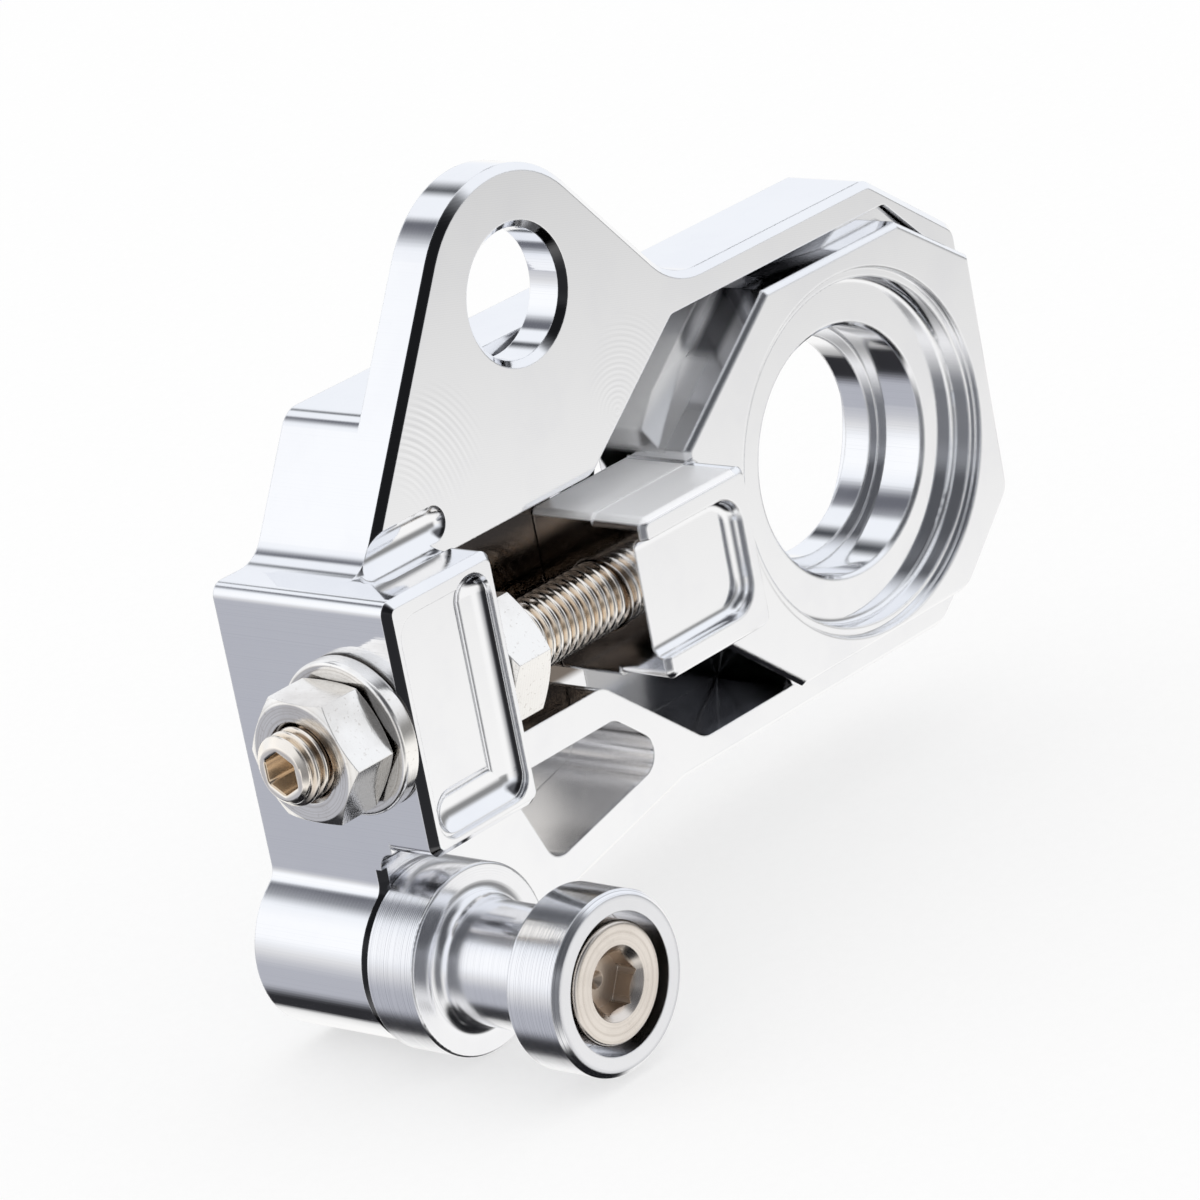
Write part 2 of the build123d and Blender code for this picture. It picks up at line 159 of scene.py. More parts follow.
def useGroup(tree, group, **inputs):
    node = addNode(tree, "ShaderNodeGroup", dict(node_tree=group))
    for name, value in inputs.items():
        socket = node.inputs[name]
        if isinstance(value, bpy.types.NodeSocket):
            tree.links.new(value, socket)
        else:
            socket.default_value = value
    return node.outputs


# Studio: white for the camera, a plain level for matt surfaces, soft cards for the polished metal
studio = dict(
    table=(1.0, 0.992, 0.978),
    room=(0.93, 0.955, 1.0),
    cards=[  # azimuth, elevation, half width, half height, softness in degrees, brightness
        dict(place=(133, 18), size=(26, 14), soft=8, level=(1.04, 1.05, 1.07)),
        dict(place=(-45, -3), size=(42, 11), soft=8, level=(0.27, 0.27, 0.27)),
        dict(place=(135, -30), size=(40, 25), soft=16, level=(0.47, 0.48, 0.53)),
        dict(place=(0, -70), size=(181, 20), soft=7, level=(0.012, 0.012, 0.014)),
        dict(place=(116, -49), size=(26, 11), soft=5, level=(0.03, 0.03, 0.034)),
        dict(place=(36, 41), size=(32, 5), soft=5, level=(0.07, 0.075, 0.085)),
        dict(place=(113, 46), size=(16, 6), soft=5, level=(0.15, 0.155, 0.18)),
        dict(place=(-140, -6), size=(24, 26), soft=14, level=(0.20, 0.205, 0.22)),
        dict(place=(-112, 38), size=(50, 22), soft=12, level=(0.10, 0.103, 0.113)),
    ],
)


def makeCardGroup():
    number = "NodeSocketFloat"
    names = ("azimuth", "elevation", "centre", "height", "halfWidth", "halfHeight", "soft")
    inputs = [(name, number, 0.0) for name in names]
    group, given, out = newGroup("softCard", inputs, [("mask", number)])
    turn = addMath(group, "SUBTRACT", given["azimuth"], given["centre"])
    turn = addMath(group, "WRAP", turn, 180.0, -180.0)
    across = addMath(group, "SUBTRACT", addMath(group, "ABSOLUTE", turn), given["halfWidth"])
    rise = addMath(group, "ABSOLUTE", addMath(group, "SUBTRACT", given["elevation"], given["height"]))
    upward = addMath(group, "SUBTRACT", rise, given["halfHeight"])
    inner = addMath(group, "MULTIPLY", given["soft"], -1.0)
    sides = addRange(group, across, inner, given["soft"], 1.0, 0.0)
    ends = addRange(group, upward, inner, given["soft"], 1.0, 0.0)
    group.links.new(addMath(group, "MULTIPLY", sides, ends), out["mask"])
    return group


def makeWorld(setup):
    world = bpy.data.worlds.new("studioWorld")
    world.use_nodes = True
    world.cycles.sampling_method = "NONE"  # glossy rays find the cards by themselves
    bpy.context.scene.world = world
    bpy.context.scene.view_settings.view_transform = "Standard"
    tree = world.node_tree
    tree.nodes.clear()
    ray = addNode(tree, "ShaderNodeTexCoord").outputs["Generated"]
    parts = splitVector(tree, ray)
    azimuth = addMath(tree, "DEGREES", addMath(tree, "ARCTAN2", parts["Y"], parts["X"]))
    elevation = addMath(tree, "DEGREES", addMath(tree, "ARCSINE", parts["Z"]))
    card = makeCardGroup()
    horizon = addRange(tree, elevation, -6.0, 9.0)
    colour = addMix(tree, horizon, (*setup["table"], 1.0), (*setup["room"], 1.0))
    for one in setup["cards"]:
        mask = useGroup(
            tree, card, azimuth=azimuth, elevation=elevation, centre=one["place"][0], height=one["place"][1],
            halfWidth=one["size"][0], halfHeight=one["size"][1], soft=one["soft"],
        )["mask"]
        colour = addMix(tree, mask, colour, (*one["level"], 1.0))
    kind = addNode(tree, "ShaderNodeLightPath").outputs
    plain = addNode(tree, "ShaderNodeBackground", None, {"Color": (1, 1, 1, 1), "Strength": 1.0})
    cards = addNode(tree, "ShaderNodeBackground", None, {"Color": colour, "Strength": 1.0})
    mixed = addShaderMix(tree, kind["Is Glossy Ray"], plain, cards)
    addNode(tree, "ShaderNodeOutputWorld", None, {"Surface": mixed.outputs[0]})


makeWorld(studio)
print("studio world ready")

# Floor: white paper under the part, which keeps its soft shadow
floorSetup = dict(drop=0.0004, half=3.0, colour=(0.99, 0.99, 0.99), lift=0.6, fibreScale=900.0)


def makeFloor(setup):
    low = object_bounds()[0][2] - setup["drop"]
    half = setup["half"]
    corners = [(x * half, y * half, low) for x, y in ((-1, -1), (1, -1), (1, 1), (-1, 1))]
    mesh = bpy.data.meshes.new("studioFloor")
    mesh.from_pydata(corners, [], [(0, 1, 2, 3)])
    floor = bpy.data.objects.new("studioFloor", mesh)
    bpy.context.scene.collection.objects.link(floor)
    material = bpy.data.materials.new("floorPaper")
    material.use_nodes = True
    tree = material.node_tree
    tree.nodes.clear()
    place = addNode(tree, "ShaderNodeTexCoord").outputs["Object"]
    fibre = addNoise(tree, place, setup["fibreScale"], 3.0)
    tint = addRange(tree, fibre, 0.3, 0.7, 0.985, 1.0)
    colour = addMix(tree, 1.0, (*setup["colour"], 1.0), tint, "MULTIPLY")
    matt = addNode(tree, "ShaderNodeBsdfDiffuse", None, {"Color": colour})
    white = addNode(tree, "ShaderNodeEmission", None, {"Color": (1, 1, 1, 1), "Strength": 1.0})
    clear = addNode(tree, "ShaderNodeBsdfTransparent")
    kind = addNode(tree, "ShaderNodeLightPath").outputs
    lift = addMath(tree, "MULTIPLY", kind["Is Camera Ray"], setup["lift"])
    seen = addShaderMix(tree, lift, matt, white)
    # Polished faces look past the paper at the cards round the table
    mixed = addShaderMix(tree, kind["Is Glossy Ray"], seen, clear)
    addNode(tree, "ShaderNodeOutputMaterial", None, {"Surface": mixed.outputs[0]})
    mesh.materials.append(material)
    floor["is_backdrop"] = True


makeFloor(floorSetup)
print("floor laid")


# Shared shader effects
def makeToolLines():
    # Straight lines left by a cutter that ran square to a direction
    inputs = [
        ("place", "NodeSocketVector", (0, 0, 0)),
        ("across", "NodeSocketVector", (0, 0, 1)),
        ("spacing", "NodeSocketFloat", 0.0004),
        ("waver", "NodeSocketFloat", 0.3),
    ]
    outputs = [("height", "NodeSocketFloat"), ("grain", "NodeSocketFloat")]
    group, given, out = newGroup("toolLines", inputs, outputs)
    along = addVector(group, "DOT_PRODUCT", given["place"], given["across"])
    steps = addMath(group, "DIVIDE", along, given["spacing"])
    drift = addMath(group, "MULTIPLY", addNoise(group, given["place"], 180.0, 2.0), given["waver"])
    phase = addMath(group, "MULTIPLY", addMath(group, "ADD", steps, drift), 2 * math.pi)
    wave = addMath(group, "MULTIPLY_ADD", addMath(group, "SINE", phase), 0.5, 0.5)
    fine = addLineNoise(group, addMath(group, "MULTIPLY", steps, 2.7), 1.0)
    height = addMath(group, "MULTIPLY_ADD", wave, 0.45, addMath(group, "MULTIPLY", fine, 0.55))
    group.links.new(height, out["height"])
    group.links.new(fine, out["grain"])
    return group


def makePaintedToneBox():
    # One inside an upright box, falling to nought over its soft rim
    inputs = [
        ("place", "NodeSocketVector", (0, 0, 0)),
        ("low", "NodeSocketVector", (0, 0, 0)),
        ("high", "NodeSocketVector", (1, 1, 1)),
        ("soft", "NodeSocketFloat", 0.001),
    ]
    group, given, out = newGroup("paintedToneBox", inputs, [("mask", "NodeSocketFloat")])
    above = splitVector(group, addVector(group, "SUBTRACT", given["place"], given["low"]))
    below = splitVector(group, addVector(group, "SUBTRACT", given["high"], given["place"]))
    least = None
    for side in (above, below):
        for axis in "XYZ":
            least = side[axis] if least is None else addMath(group, "MINIMUM", least, side[axis])
    group.links.new(addRange(group, least, 0.0, given["soft"]), out["mask"])
    return group


def makeToolRings():
    # Rings left round an axis by a lathe or an end mill
    inputs = [
        ("place", "NodeSocketVector", (0, 0, 0)),
        ("centre", "NodeSocketVector", (0, 0, 0)),
        ("axis", "NodeSocketVector", (0, 1, 0)),
        ("spacing", "NodeSocketFloat", 0.0003),
    ]
    outputs = [(name, "NodeSocketFloat") for name in ("height", "radius", "sheen")]
    group, given, out = newGroup("toolRings", inputs, outputs)
    offset = addVector(group, "SUBTRACT", given["place"], given["centre"])
    depth = addVector(group, "DOT_PRODUCT", offset, given["axis"])
    sizes = {0: given["axis"], "Scale": depth}
    onAxis = addNode(group, "ShaderNodeVectorMath", dict(operation="SCALE"), sizes).outputs[0]
    radius = addVector(group, "LENGTH", addVector(group, "SUBTRACT", offset, onAxis))
    steps = addMath(group, "DIVIDE", radius, given["spacing"])
    swing = addMath(group, "SINE", addMath(group, "MULTIPLY", steps, 2 * math.pi))
    wave = addMath(group, "MULTIPLY_ADD", swing, 0.5, 0.5)
    fine = addLineNoise(group, steps, 0.9)
    height = addMath(group, "MULTIPLY_ADD", wave, 0.4, addMath(group, "MULTIPLY", fine, 0.6))
    group.links.new(height, out["height"])
    group.links.new(radius, out["radius"])
    group.links.new(fine, out["sheen"])
    return group


def makeHandling():
    # Soft smears and hairline scratches that polished metal picks up in the hand
    inputs = [("place", "NodeSocketVector", (0, 0, 0)), ("amount", "NodeSocketFloat", 0.5)]
    outputs = [("smear", "NodeSocketFloat"), ("scratch", "NodeSocketFloat")]
    group, given, out = newGroup("handling", inputs, outputs)
    cloud = addRange(group, addNoise(group, given["place"], 95.0, 4.0, 0.6), 0.42, 0.68)
    group.links.new(addMath(group, "MULTIPLY", cloud, given["amount"]), out["smear"])
    total = None
    for turn, stretch in ((0.4, 2600.0), (1.9, 3400.0)):
        turned = {"Rotation": (turn, turn * 0.7, turn * 1.3), "Scale": (stretch, 60.0, 60.0)}
        spun = addNode(group, "ShaderNodeMapping", None, {"Vector": given["place"], **turned}).outputs[0]
        line = addRange(group, addNoise(group, spun, 1.0, 1.0), 0.735, 0.775)
        total = line if total is None else addMath(group, "MAXIMUM", total, line)
    group.links.new(addMath(group, "MULTIPLY", total, given["amount"]), out["scratch"])
    return group


toolLines = makeToolLines()
toolRings = makeToolRings()
paintedToneBox = makePaintedToneBox()
handling = makeHandling()
print("shared effects ready")


def startMaterial(name):
    material = bpy.data.materials.new(name)
    material.use_nodes = True
    tree = material.node_tree
    tree.nodes.clear()
    coords = addNode(tree, "ShaderNodeTexCoord").outputs
    shader = addNode(tree, "ShaderNodeBsdfPrincipled")
    addNode(tree, "ShaderNodeOutputMaterial", None, {"Surface": shader.outputs[0]})
    return material, tree, coords, shader


def setShader(tree, shader, **inputs):
    for name, value in inputs.items():
        socket = shader.inputs[name.replace("_", " ")]
        if isinstance(value, bpy.types.NodeSocket):
            tree.links.new(value, socket)
        else:
            socket.default_value = value


def faceMask(tree, normal, axis, low=0.9, high=0.97):
    # One on faces that look along an axis, either way
    facing = addMath(tree, "ABSOLUTE", addVector(tree, "DOT_PRODUCT", normal, axis))
    return addRange(tree, facing, low, high)


def rearBevelReflection(tree, normal):
    # One on the outboard side's slanted bevels that look rearwards, where a dark reflection is painted, as
    # the photograph shows them
    parts = splitVector(tree, normal)
    slanted = addRange(tree, parts["Y"], -0.60, -0.67)
    notFlat = addRange(tree, parts["Y"], -0.80, -0.74)
    outward = addMath(tree, "MULTIPLY", slanted, notFlat)
    return addMath(tree, "MULTIPLY", outward, addRange(tree, parts["X"], -0.18, -0.42))


def blendValue(tree, factor, first, second):
    node = addNode(tree, "ShaderNodeMix", dict(data_type="FLOAT"), {0: factor, 2: first, 3: second})
    return node.outputs[0]


def blendMarks(tree, factor, first, second):
    # Blend of two heights, written as one multiply and add
    return addMath(tree, "MULTIPLY_ADD", factor, addMath(tree, "SUBTRACT", second, first), first)


def swirlPatch(tree, place, patch):
    # A fan of round tool marks that fades out at its rim
    centre, spacing = patch["centre"], patch["spacing"]
    rings = useGroup(tree, toolRings, place=place, centre=centre, axis=(0, 1, 0), spacing=spacing)
    away = addVector(tree, "LENGTH", addVector(tree, "SUBTRACT", place, patch["middle"]))
    fade = addRange(tree, away, patch["reach"], patch["reach"] * 0.45)
    return addMath(tree, "MULTIPLY", rings["height"], addMath(tree, "MULTIPLY", fade, patch["depth"]))


def roundedNormal(tree, height, distance, radius):
    # A broken edge a few hundredths wide, then the tool marks on top
    bevel = addNode(tree, "ShaderNodeBevel", dict(samples=4), {"Radius": radius})
    inputs = {"Strength": 1.0, "Distance": distance, "Height": height, "Normal": bevel.outputs[0]}
    return addNode(tree, "ShaderNodeBump", None, inputs).outputs[0]


def occlusionShade(tree, reach, low=0.04, high=0.34):
    # One in open places, nought deep in slots and under edges; where it falls, a painted shade goes
    room = addNode(tree, "ShaderNodeAmbientOcclusion", dict(samples=6), {"Distance": reach})
    return addRange(tree, room.outputs["AO"], low, high)


# Billet aluminium of the frame and the slider: bright polished, with fine cutter lines on its sides
billetSetup = dict(
    colour=(0.925, 0.930, 0.945),
    smearColour=(0.895, 0.900, 0.925),
    # colour of the painted shade in hollows and under edges
    occlusionShadeColour=(0.24, 0.24, 0.25),
    roughness=(0.045, 0.10),
    lineSpacing=0.00034,
    lineDepth=0.0000012,
    deepRoughness=0.16,
    lineTone=(0.80, 0.81, 0.84),
    # colour of the painted reflection on the rearward bevels
    bevelReflectionColour=(0.10, 0.10, 0.105),
    swirls=[
        dict(
            centre=(-0.0715, -0.011, 0.0165), middle=(-0.0620, -0.011, 0.0232),
            reach=0.0078, spacing=0.0007, depth=8.0,
        ),
        dict(
            centre=(-0.0350, -0.011, 0.0175), middle=(-0.0315, -0.009, 0.0200),
            reach=0.0085, spacing=0.0006, depth=4.0,
        ),
    ],
)


cupRim = (0.0206, 0.0210)  # radius where the cup ends, in metres from the axle

# Painted tones that stand in for what these places mirror in the photograph's room.
# Boxes in metres with a soft rim; metal below 1 makes bare metal take plain light there.
slotShade = dict(
    low=(-0.0400, -0.0098, 0.0200), high=(0.0300, 0.0020, 0.0275), soft=0.0022,
    amount=0.88, colour=(0.10, 0.10, 0.11), rough=0.22,
)
valleyShade = dict(
    low=(-0.0450, -0.0106, 0.0096), high=(-0.0060, 0.0020, 0.0245), soft=0.0008,
    amount=0.7, colour=(0.985, 0.985, 0.99), rough=0.36,
)
windowShade = dict(
    low=(-0.0380, -0.0108, -0.0235), high=(0.0040, 0.0020, -0.0100), soft=0.0035,
    amount=0.93, colour=(0.05, 0.05, 0.055), rough=0.2,
)
tongueShade = dict(
    low=(-0.0460, -0.0215, 0.0084), high=(-0.0283, -0.0030, 0.0102), soft=0.0003,
    amount=0.95, colour=(0.98, 0.985, 1.0), rough=0.30, metal=0.12,
)
rampShade = dict(
    low=(-0.0295, -0.0074, 0.0096), high=(-0.0175, 0.0010, 0.0205), soft=0.0014,
    amount=0.95, colour=(0.985, 0.99, 0.995), rough=0.30, metal=0.06,
)
wallShade = dict(
    low=(-0.0240, -0.0116, 0.0170), high=(-0.0060, -0.0062, 0.0300), soft=0.0014,
    amount=0.85, colour=(0.13, 0.13, 0.145), rough=0.12,
)
channelShade = dict(
    low=(-0.0625, -0.0104, -0.0110), high=(-0.0395, 0.0020, 0.0132), soft=0.0012,
    amount=0.92, colour=(0.13, 0.098, 0.072), rough=0.13,
)
pocketShade = dict(
    low=(-0.0640, -0.0108, -0.0265), high=(-0.0370, 0.0020, -0.0125), soft=0.0006,
    amount=0.8, colour=(0.985, 0.975, 0.965), rough=0.2,
)


def outsideCup(tree, place, normal):
    # One except inside the slider's cup and on the faces that look inboard
    fromAxle = addVector(tree, "LENGTH", addVector(tree, "MULTIPLY", place, (1, 0, 1)))
    inboard = addVector(tree, "DOT_PRODUCT", normal, (0, 1, 0))
    beyondCup = addRange(tree, fromAxle, *cupRim)
    return addMath(tree, "MULTIPLY", beyondCup, addRange(tree, inboard, 0.6, 0.85, 1.0, 0.0))


def makeBillet(name, setup, shades, edgeRadius, paintBevelReflection=False):
    material, tree, coords, shader = startMaterial(name)
    place, normal = coords["Object"], coords["Normal"]
    gap = setup["lineSpacing"]
    sides = useGroup(tree, toolLines, place=place, across=(0, 0, 1), spacing=gap, waver=0.2)
    fronts = useGroup(tree, toolLines, place=place, across=(0.25, 0, 0.97), spacing=gap * 0.7, waver=0.6)
    tops = useGroup(tree, toolLines, place=place, across=(0, 1, 0), spacing=gap * 1.5, waver=0.1)
    front = faceMask(tree, normal, (0, 1, 0))
    level = faceMask(tree, normal, (0, 0, 1), 0.6, 0.75)
    marks = blendValue(tree, level, sides["height"], addMath(tree, "MULTIPLY", tops["height"], 0.5))
    marks = blendValue(tree, front, marks, addMath(tree, "MULTIPLY", fronts["height"], 0.35))
    for patch in setup["swirls"]:
        marks = addMath(tree, "ADD", marks, swirlPatch(tree, place, patch))
    worn = useGroup(tree, handling, place=place, amount=0.6)
    colour = addMix(tree, worn["smear"], (*setup["colour"], 1.0), (*setup["smearColour"], 1.0))
    endFace = faceMask(tree, normal, (1, 0, 0), 0.8, 0.95)
    fine = addRange(tree, sides["grain"], 0.5, 0.72)
    fine = addMath(tree, "MULTIPLY", fine, addMath(tree, "MULTIPLY", endFace, 0.35))
    colour = addMix(tree, fine, colour, (*setup["lineTone"], 1.0))
    rough = addRange(tree, worn["smear"], 0.0, 0.6, *setup["roughness"], smooth=False)
    rough = addMath(tree, "MULTIPLY_ADD", sides["grain"], 0.02, rough)
    # Painted reflection: the rearward bevels darkened
    if paintBevelReflection:
        colour = addMix(tree, rearBevelReflection(tree, normal), colour, (*setup["bevelReflectionColour"], 1.0))
    paintedToneArea = 0.0
    metal = 1.0
    shaded = outsideCup(tree, place, normal)
    # Painted shade and painted reflection in each box, with its roughness and metal set there too
    for shade in shades:
        corners = dict(low=shade["low"], high=shade["high"])
        mask = useGroup(tree, paintedToneBox, place=place, soft=shade["soft"], **corners)["mask"]
        mask = addMath(tree, "MULTIPLY", mask, shaded)
        cover = addMath(tree, "MULTIPLY", mask, shade["amount"])
        colour = addMix(tree, cover, colour, (*shade["colour"], 1.0))
        paintedToneArea = addMath(tree, "MAXIMUM", paintedToneArea, mask)
        marks = addMath(tree, "MULTIPLY", marks, addMath(tree, "MULTIPLY_ADD", mask, -0.8, 1.0))
        rough = blendValue(tree, mask, rough, shade["rough"])
        if "metal" in shade:
            metal = blendValue(tree, mask, metal, shade["metal"])
    # Painted shade: darker where the ambient occlusion finds the surroundings close, except inside the tone
    # boxes
    deep = addMath(tree, "MAXIMUM", occlusionShade(tree, 0.0035, 0.02, 0.30), paintedToneArea)
    colour = addMix(tree, deep, (*setup["occlusionShadeColour"], 1.0), colour)
    height = addMath(tree, "SUBTRACT", marks, addMath(tree, "MULTIPLY", worn["scratch"], 0.8))
    deepRough = setup["deepRoughness"]
    rough = addMath(tree, "MAXIMUM", rough, addMath(tree, "MULTIPLY_ADD", deep, -deepRough, deepRough))
    setShader(
        tree, shader, Base_Color=colour, Metallic=metal, Roughness=rough,
        Normal=roundedNormal(tree, height, setup["lineDepth"], edgeRadius),
    )
    return material


# Turned aluminium of the stand spool: polished, with lathe lines that catch the light
spoolSetup = dict(
    colour=(0.915, 0.920, 0.940),
    smearColour=(0.88, 0.885, 0.91),
    roughness=(0.08, 0.24),
    lineTone=(0.50, 0.51, 0.55),
    ringSpacing=0.00026,
    ringDepth=0.0000045,
    edgeRadius=0.00018,
)


def makeSpoolMetal(name, setup):
    material, tree, coords, shader = startMaterial(name)
    place, normal = coords["Object"], coords["Normal"]
    low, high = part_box("stand_spool")
    centre, gap = tuple((low + high) / 2), setup["ringSpacing"]
    rings = useGroup(tree, toolRings, place=place, centre=centre, axis=(0, 1, 0), spacing=gap)
    lines = useGroup(tree, toolLines, place=place, across=(0, 1, 0), spacing=gap, waver=0.0)
    front = faceMask(tree, normal, (0, 1, 0), 0.6, 0.8)
    height = blendMarks(tree, front, lines["height"], rings["height"])
    rim = addRange(tree, rings["radius"], 0.0085, 0.0093)
    height = addMath(tree, "MULTIPLY", height, addRange(tree, rim, 0.0, 1.0, 0.25, 1.0))
    worn = useGroup(tree, handling, place=place, amount=0.5)
    rough = addRange(tree, lines["grain"], 0.3, 0.7, *setup["roughness"], smooth=False)
    rough = addMath(tree, "ADD", rough, addMath(tree, "MULTIPLY", worn["smear"], 0.05))
    colour = addMix(tree, worn["smear"], (*setup["colour"], 1.0), (*setup["smearColour"], 1.0))
    streaks = addRange(tree, lines["grain"], 0.48, 0.70)
    streaks = addMath(tree, "MULTIPLY", streaks, addRange(tree, rim, 0.0, 1.0, 0.2, 0.75))
    colour = addMix(tree, streaks, colour, (*setup["lineTone"], 1.0))
    setShader(
        tree, shader, Base_Color=colour, Metallic=1.0, Roughness=rough,
        Normal=roundedNormal(tree, height, setup["ringDepth"], setup["edgeRadius"]),
    )
    return material


# Stainless steel of the nuts, washer and screw: warmer, brushed by the press and the barrel
fastenerSetup = dict(
    colour=(0.97, 0.955, 0.93),
    dark=(0.60, 0.56, 0.515),
    # colour of the painted shade in hollows and between parts
    occlusionShadeColour=(0.06, 0.052, 0.045),
    socket=0.0001,
    roughness=(0.10, 0.17),
    ringSpacing=0.00028,
    ringDepth=0.0000026,
    edgeRadius=0.00016,
)


# The spool screw is of a warmer, duller steel
screwSetup = dict(
    colour=(0.80, 0.745, 0.69),
    dark=(0.66, 0.60, 0.54),
    # colour of the painted shade in hollows and in the hexagon socket
    occlusionShadeColour=(0.64, 0.54, 0.45),
    socket=0.0033,
    roughness=(0.16, 0.24),
    ringSpacing=0.00035,
    ringDepth=0.0000018,
    edgeRadius=0.00016,
)


def makeFastener(name, setup, centre, axis, occlusionRange=(0.05, 0.45)):
    material, tree, coords, shader = startMaterial(name)
    place, normal = coords["Object"], coords["Normal"]
    gap = setup["ringSpacing"]
    rings = useGroup(tree, toolRings, place=place, centre=centre, axis=axis, spacing=gap)
    lines = useGroup(tree, toolLines, place=place, across=axis, spacing=gap * 1.4, waver=0.5)
    flat = faceMask(tree, normal, axis, 0.8, 0.92)
    marks = blendMarks(tree, flat, lines["height"], rings["height"])
    worn = useGroup(tree, handling, place=place, amount=0.8)
    pits = addRange(tree, addNoise(tree, place, 2400.0, 2.0), 0.62, 0.72)
    dents = addMath(tree, "MAXIMUM", worn["scratch"], pits)
    height = addMath(tree, "SUBTRACT", marks, addMath(tree, "MULTIPLY", dents, 0.6))
    tone = addMath(tree, "MULTIPLY", pits, 0.35)
    tone = addMath(tree, "MULTIPLY_ADD", worn["smear"], 0.5, tone, clamp=True)
    colour = addMix(tree, tone, (*setup["colour"], 1.0), (*setup["dark"], 1.0))
    brushed = addRange(tree, rings["sheen"], 0.42, 0.72)
    brushed = addMath(tree, "MULTIPLY", brushed, addMath(tree, "MULTIPLY", flat, 0.5))
    colour = addMix(tree, brushed, colour, (*setup["dark"], 1.0))
    # Painted shade in hollows and between parts
    colour = addMix(tree, occlusionShade(tree, 0.005, *occlusionRange), (*setup["occlusionShadeColour"], 1.0), colour)
    # Painted shade inside the socket radius, filling the screw's hexagon socket
    socketShade = addRange(tree, rings["radius"], setup["socket"] * 1.06, setup["socket"] * 0.94)
    colour = addMix(tree, socketShade, colour, (*setup["occlusionShadeColour"], 1.0))
    rough = addRange(tree, rings["sheen"], 0.3, 0.7, *setup["roughness"], smooth=False)
    rough = addMath(tree, "ADD", rough, addMath(tree, "MULTIPLY", worn["smear"], 0.08))
    rough = addMath(tree, "MAXIMUM", rough, addMath(tree, "MULTIPLY", socketShade, 0.34))
    setShader(
        tree, shader, Base_Color=colour, Metallic=1.0, Roughness=rough,
        Normal=roundedNormal(tree, height, setup["ringDepth"], setup["edgeRadius"]),
    )
    return material


# Stud steel: bronze tone in the flanks of the thread, and a painted highlight that makes it bright along its
# crests
studMetal = dict(
    crest=(1.0, 0.965, 0.91),
    root=(0.74, 0.60, 0.45),
    # colour of the painted shade in the thread roots and the socket
    occlusionShadeColour=(0.26, 0.175, 0.11),
    roughness=(0.11, 0.19),
    edgeRadius=0.00006,
    ringSpacing=0.00011,
    markDepth=0.0000022,
    grainScale=5000.0,
    # reach of the painted highlight over the outer chamfer
    tipHighlightReach=(0.0014, 0.0009),  # the bright chamfer of the outer end, from its face inwards
    socketRim=(0.0023, 0.0025),
)


def makeStudMetal(name, setup, centre, crestRadius, rootRadius):
    material, tree, coords, shader = startMaterial(name)
    place = coords["Object"]
    gap = setup["ringSpacing"]
    rings = useGroup(tree, toolRings, place=place, centre=centre, axis=(1, 0, 0), spacing=gap)
    ends = faceMask(tree, coords["Normal"], (1, 0, 0), 0.8, 0.95)
    tip = addVector(tree, "DOT_PRODUCT", place, (1, 0, 0))
    tipFar, tipNear = (studLow.x + reach for reach in setup["tipHighlightReach"])
    rim = addRange(tree, rings["radius"], *setup["socketRim"])
    tip = addMath(tree, "MULTIPLY", addRange(tree, tip, tipFar, tipNear), rim)
    # Painted highlight: crest colour along the crests, on the end faces and on the outer chamfer
    depth = addRange(tree, rings["radius"], rootRadius, crestRadius)
    depth = addMath(tree, "MAXIMUM", addMath(tree, "MAXIMUM", ends, tip), depth)
    worn = useGroup(tree, handling, place=place, amount=0.9)
    tone = addMath(tree, "SUBTRACT", depth, addMath(tree, "MULTIPLY", worn["smear"], 0.3), clamp=True)
    colour = addMix(tree, tone, (*setup["root"], 1.0), (*setup["crest"], 1.0))
    # Painted shade in the thread roots and the hexagon socket
    colour = addMix(tree, occlusionShade(tree, 0.003, 0.1, 0.5), (*setup["occlusionShadeColour"], 1.0), colour)
    rough = addRange(tree, worn["smear"], 0.0, 0.9, *setup["roughness"], smooth=False)
    grain = addNoise(tree, place, setup["grainScale"], 2.0)
    height = addMath(tree, "ADD", addMath(tree, "MULTIPLY", rings["height"], 0.4), grain)
    setShader(
        tree, shader, Base_Color=colour, Metallic=1.0, Roughness=rough,
        Normal=roundedNormal(tree, height, setup["markDepth"], setup["edgeRadius"]),
    )
    return material


def dress(node, material):
    mesh = nodes[node].data
    mesh.materials.clear()
    mesh.materials.append(material)


studLow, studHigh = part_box("adjuster_stud")
studAxis = (0.0, (studLow.y + studHigh.y) / 2, (studLow.z + studHigh.z) / 2)
screwLow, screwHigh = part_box("spool_screw")
screwAxis = ((screwLow.x + screwHigh.x) / 2, 0.0, (screwLow.z + screwHigh.z) / 2)

frameShades = (valleyShade, windowShade, channelShade, pocketShade)
sliderShades = (slotShade, valleyShade, tongueShade, rampShade, wallShade)
dress("carrier_frame", makeBillet("billetFrame", billetSetup, frameShades, 0.00022, True))
dress("axle_slider", makeBillet("billetSlider", billetSetup, sliderShades, 0.00042))
dress("stand_spool", makeSpoolMetal("turnedSpool", spoolSetup))
dress("outer_lock_nut", makeFastener("steelOuterNut", fastenerSetup, studAxis, (1, 0, 0)))
dress("inner_jam_nut", makeFastener("steelInnerNut", fastenerSetup, studAxis, (1, 0, 0)))
dress("outer_washer", makeFastener("steelWasher", fastenerSetup, studAxis, (1, 0, 0), (0.2, 0.7)))
dress("spool_screw", makeFastener("steelScrew", screwSetup, screwAxis, (0, 1, 0), (0.02, 0.3)))
print("metals ready")

